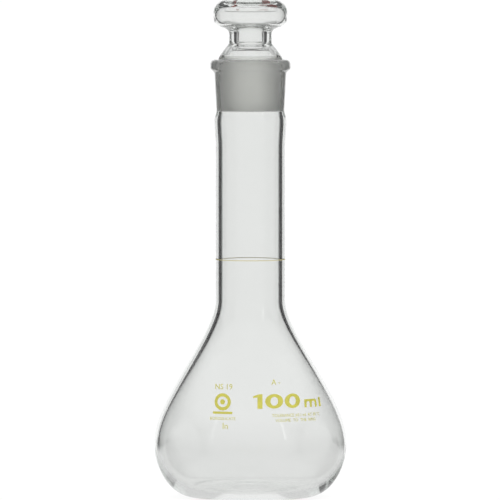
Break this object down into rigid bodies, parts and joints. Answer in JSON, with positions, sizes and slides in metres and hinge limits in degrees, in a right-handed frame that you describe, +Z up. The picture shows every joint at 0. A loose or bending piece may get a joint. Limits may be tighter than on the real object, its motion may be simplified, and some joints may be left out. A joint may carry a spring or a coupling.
{
  "type": "volumetric flask",
  "caption": "Pear-shaped volumetric flask with a flat base, a long neck with a ring mark, a ground glass socket with a beaded rim, and a hollow flat-head glass stopper.",
  "frame": {"origin": "on the flask's axis, in the plane of the flat ring that it stands on", "axes": "+Z up along the axis to the stopper; the printed side faces -Y, with the capacity to its right towards +X"},
  "size_m": [0.061, 0.061, 0.1578],
  "materials": {
    "clear_glass": "clear borosilicate glass, fire-polished",
    "ground_glass": "ground inside, so matt and translucent; fire-polished rim",
    "stopper_glass": "clear blown head and waist, matt ground plug",
    "amber_enamel": "fired-on glass enamel, amber-yellow, semi-gloss",
    "yellow_enamel": "fired-on glass enamel, greenish yellow, semi-gloss",
    "red_enamel": "fired-on glass enamel, red, semi-gloss"
  },
  "bodies": {
    "flask": {"bulb": "clear_glass", "neck": "clear_glass", "ground_socket": "ground_glass", "ring_mark": "amber_enamel", "capacity_digit_1": "yellow_enamel", "capacity_digit_0_left": "yellow_enamel", "capacity_digit_0_right": "yellow_enamel", "unit_letter_m": "yellow_enamel", "unit_letter_l": "yellow_enamel", "emblem_ring": "yellow_enamel", "emblem_dot": "yellow_enamel", "emblem_bar": "yellow_enamel"},
    "stopper": {"stopper": "stopper_glass", "size_digit_1": "red_enamel", "size_digit_9": "red_enamel"}
  },
  "joints": [
    {"name": "stopper_lift", "type": "slide", "parent": "flask", "child": "stopper", "axis": [0, 0, 1], "range_m": [0, 0.06]}
  ]
}
